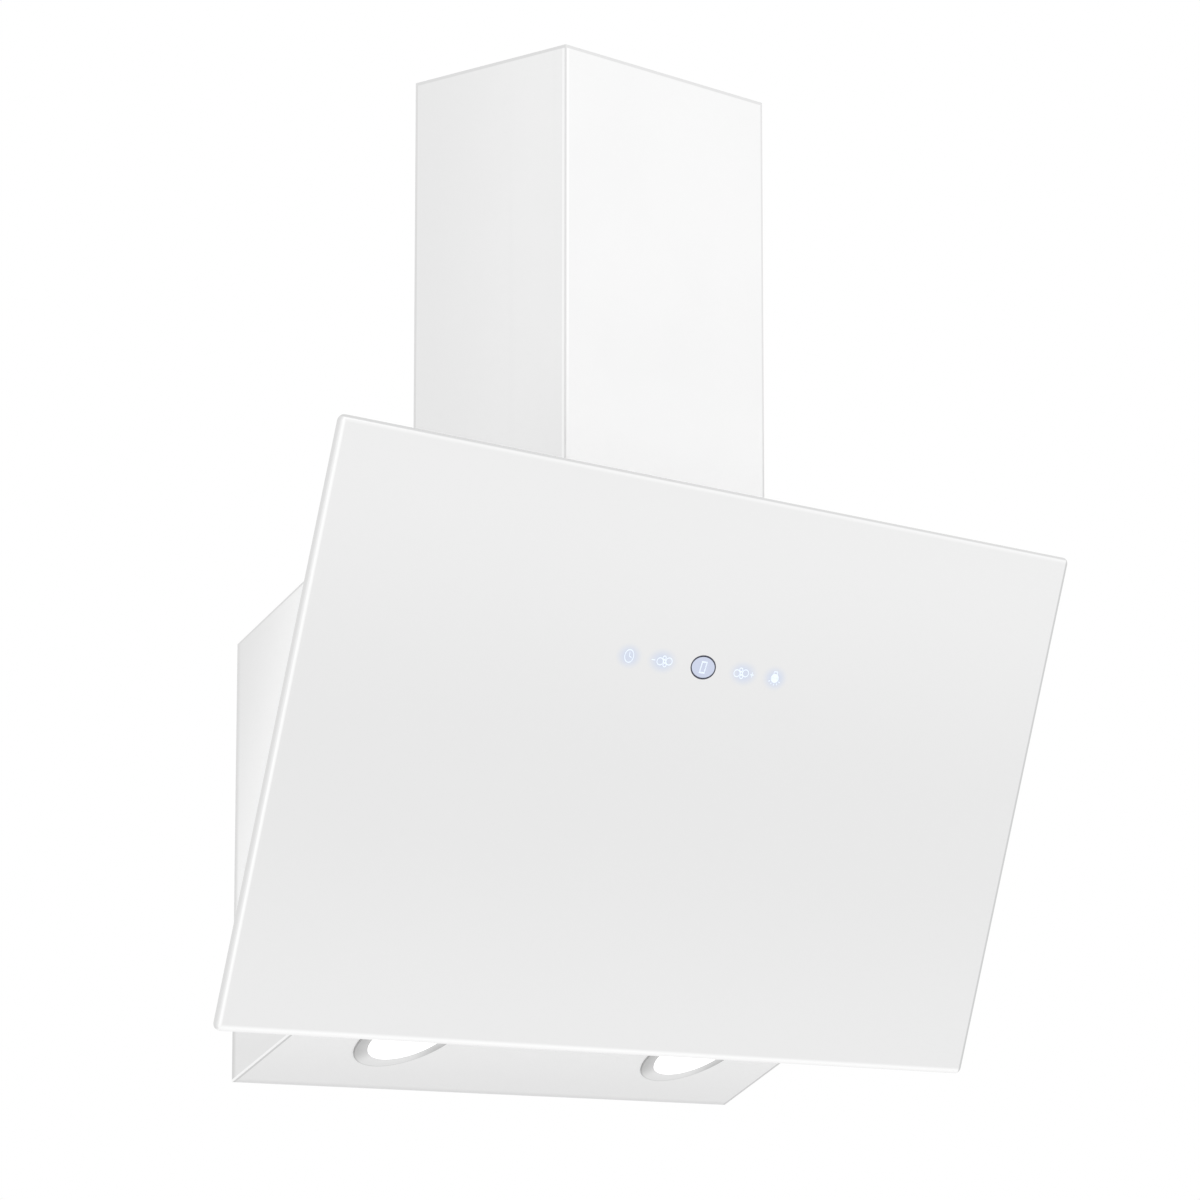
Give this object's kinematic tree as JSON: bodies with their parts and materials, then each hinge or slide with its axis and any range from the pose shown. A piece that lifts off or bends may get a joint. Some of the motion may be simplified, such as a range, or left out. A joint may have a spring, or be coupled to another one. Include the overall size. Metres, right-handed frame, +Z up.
{
  "type": "wall range hood",
  "caption": "Angled wall-mounted range hood: tilted white glass door hinged on a wedge-shaped steel body, touch control, two round lamps below and a box chimney.",
  "frame": {"origin": "middle of the body's lower back edge, on the wall plane", "axes": "+X right seen from the front, +Y towards the wall, +Z up; the glass faces -Y"},
  "size_m": [0.898, 0.2791, 0.85],
  "materials": {
    "white_enamel": "white baked enamel on steel sheet, satin",
    "white_glass": "toughened glass painted white on its back, polished edges",
    "zinc_steel": "zinc-plated steel",
    "white_screw": "white-painted screw heads",
    "filter_aluminium": "expanded aluminium mesh in a folded aluminium rim",
    "latch_plastic": "moulded grey plastic",
    "grey_plastic": "moulded light grey plastic",
    "circuit_board": "green solder mask",
    "icon_light": "backlit touch symbols, cool white",
    "ring_ink": "dark printed ring",
    "magnet_block": "plastic-cased magnet",
    "lamp_bezel_grey": "light grey satin lamp ring",
    "lamp_lens_white": "opal diffuser, lit",
    "lamp_casting": "die-cast heat sink",
    "blower_plastic": "moulded dark grey plastic",
    "motor_steel": "dark painted motor can",
    "capacitor_can": "off-white capacitor case",
    "rubber_grey": "black rubber",
    "cable_grey": "light grey soft cable sheath",
    "duct_plastic": "moulded black plastic",
    "galvanised_sheet": "galvanised steel sheet"
  },
  "bodies": {
    "hood_body": {"back_panel": "white_enamel", "blower_motor": "motor_steel", "blower_screws": "zinc_steel", "blower_scroll_left": "blower_plastic", "blower_scroll_right": "blower_plastic", "body_rivets": "zinc_steel", "cable_clips": "grey_plastic", "cable_gland": "grey_plastic", "chimney_cover": "white_enamel", "chimney_screws": "white_screw", "chimney_tab_left": "zinc_steel", "chimney_tab_right": "zinc_steel", "duct_collar": "duct_plastic", "filter_frame_left": "filter_aluminium", "filter_frame_right": "filter_aluminium", "filter_mesh_left": "filter_aluminium", "filter_mesh_right": "filter_aluminium", "front_frame": "white_enamel", "hinge_bracket_left": "zinc_steel", "hinge_bracket_right": "zinc_steel", "hinge_pins": "zinc_steel", "lamp_bezel_left": "lamp_bezel_grey", "lamp_bezel_right": "lamp_bezel_grey", "lamp_clips": "zinc_steel", "lamp_leads": "cable_grey", "lamp_lens_left": "lamp_lens_white", "lamp_lens_right": "lamp_lens_white", "lamp_module_left": "lamp_casting", "lamp_module_right": "lamp_casting", "led_driver": "grey_plastic", "light_panel": "white_enamel", "motor_bracket": "zinc_steel", "motor_bushes": "rubber_grey", "motor_capacitor": "capacitor_can", "motor_lead": "cable_grey", "outlet_plenum": "galvanised_sheet", "side_panel_left": "white_enamel", "side_panel_right": "white_enamel", "terminal_box": "grey_plastic", "terminal_box_lid": "grey_plastic", "top_panel": "white_enamel"},
    "glass_door": {"glass_panel": "white_glass", "glass_carrier": "zinc_steel", "touch_housing": "grey_plastic", "touch_board": "circuit_board", "touch_icons": "icon_light", "display_ring": "ring_ink", "display_digit": "icon_light", "door_magnets": "magnet_block", "door_rivets": "zinc_steel", "hinge_arm_left": "zinc_steel", "hinge_arm_right": "zinc_steel"},
    "latch_left": {"filter_latch_left": "latch_plastic"},
    "latch_right": {"filter_latch_right": "latch_plastic"},
    "impeller": {"blower_impeller": "blower_plastic", "motor_shaft": "zinc_steel"},
    "damper_front": {"damper_flap_front": "duct_plastic"},
    "damper_back": {"damper_flap_back": "duct_plastic"},
    "chimney_upper": {"chimney_inner_cover": "white_enamel", "chimney_wall_bracket": "zinc_steel"}
  },
  "joints": [
    {"name": "door_hinge", "type": "hinge", "parent": "hood_body", "child": "glass_door", "pos_m": [0, -0.2425, 0.4363], "axis": [-1, 0, 0], "range_deg": [0, 50]},
    {"name": "latch_left_slide", "type": "slide", "parent": "hood_body", "child": "latch_left", "axis": [0, 0.2773, -0.9608], "range_m": [0, 0.006], "stiffness_N_per_m": 600, "springref_m": -0.003},
    {"name": "latch_right_slide", "type": "slide", "parent": "hood_body", "child": "latch_right", "axis": [0, 0.2773, -0.9608], "range_m": [0, 0.006], "stiffness_N_per_m": 600, "springref_m": -0.003},
    {"name": "impeller_spin", "type": "hinge", "parent": "hood_body", "child": "impeller", "pos_m": [0, -0.08, 0.262], "axis": [1, 0, 0], "continuous": true},
    {"name": "damper_front_swing", "type": "hinge", "parent": "hood_body", "child": "damper_front", "pos_m": [0, -0.1175, 0.489], "axis": [-1, 0, 0], "range_deg": [0, 80]},
    {"name": "damper_back_swing", "type": "hinge", "parent": "hood_body", "child": "damper_back", "pos_m": [0, -0.1075, 0.489], "axis": [1, 0, 0], "range_deg": [0, 80]},
    {"name": "chimney_slide", "type": "slide", "parent": "hood_body", "child": "chimney_upper", "axis": [0, 0, 1], "range_m": [0, 0.28]}
  ]
}
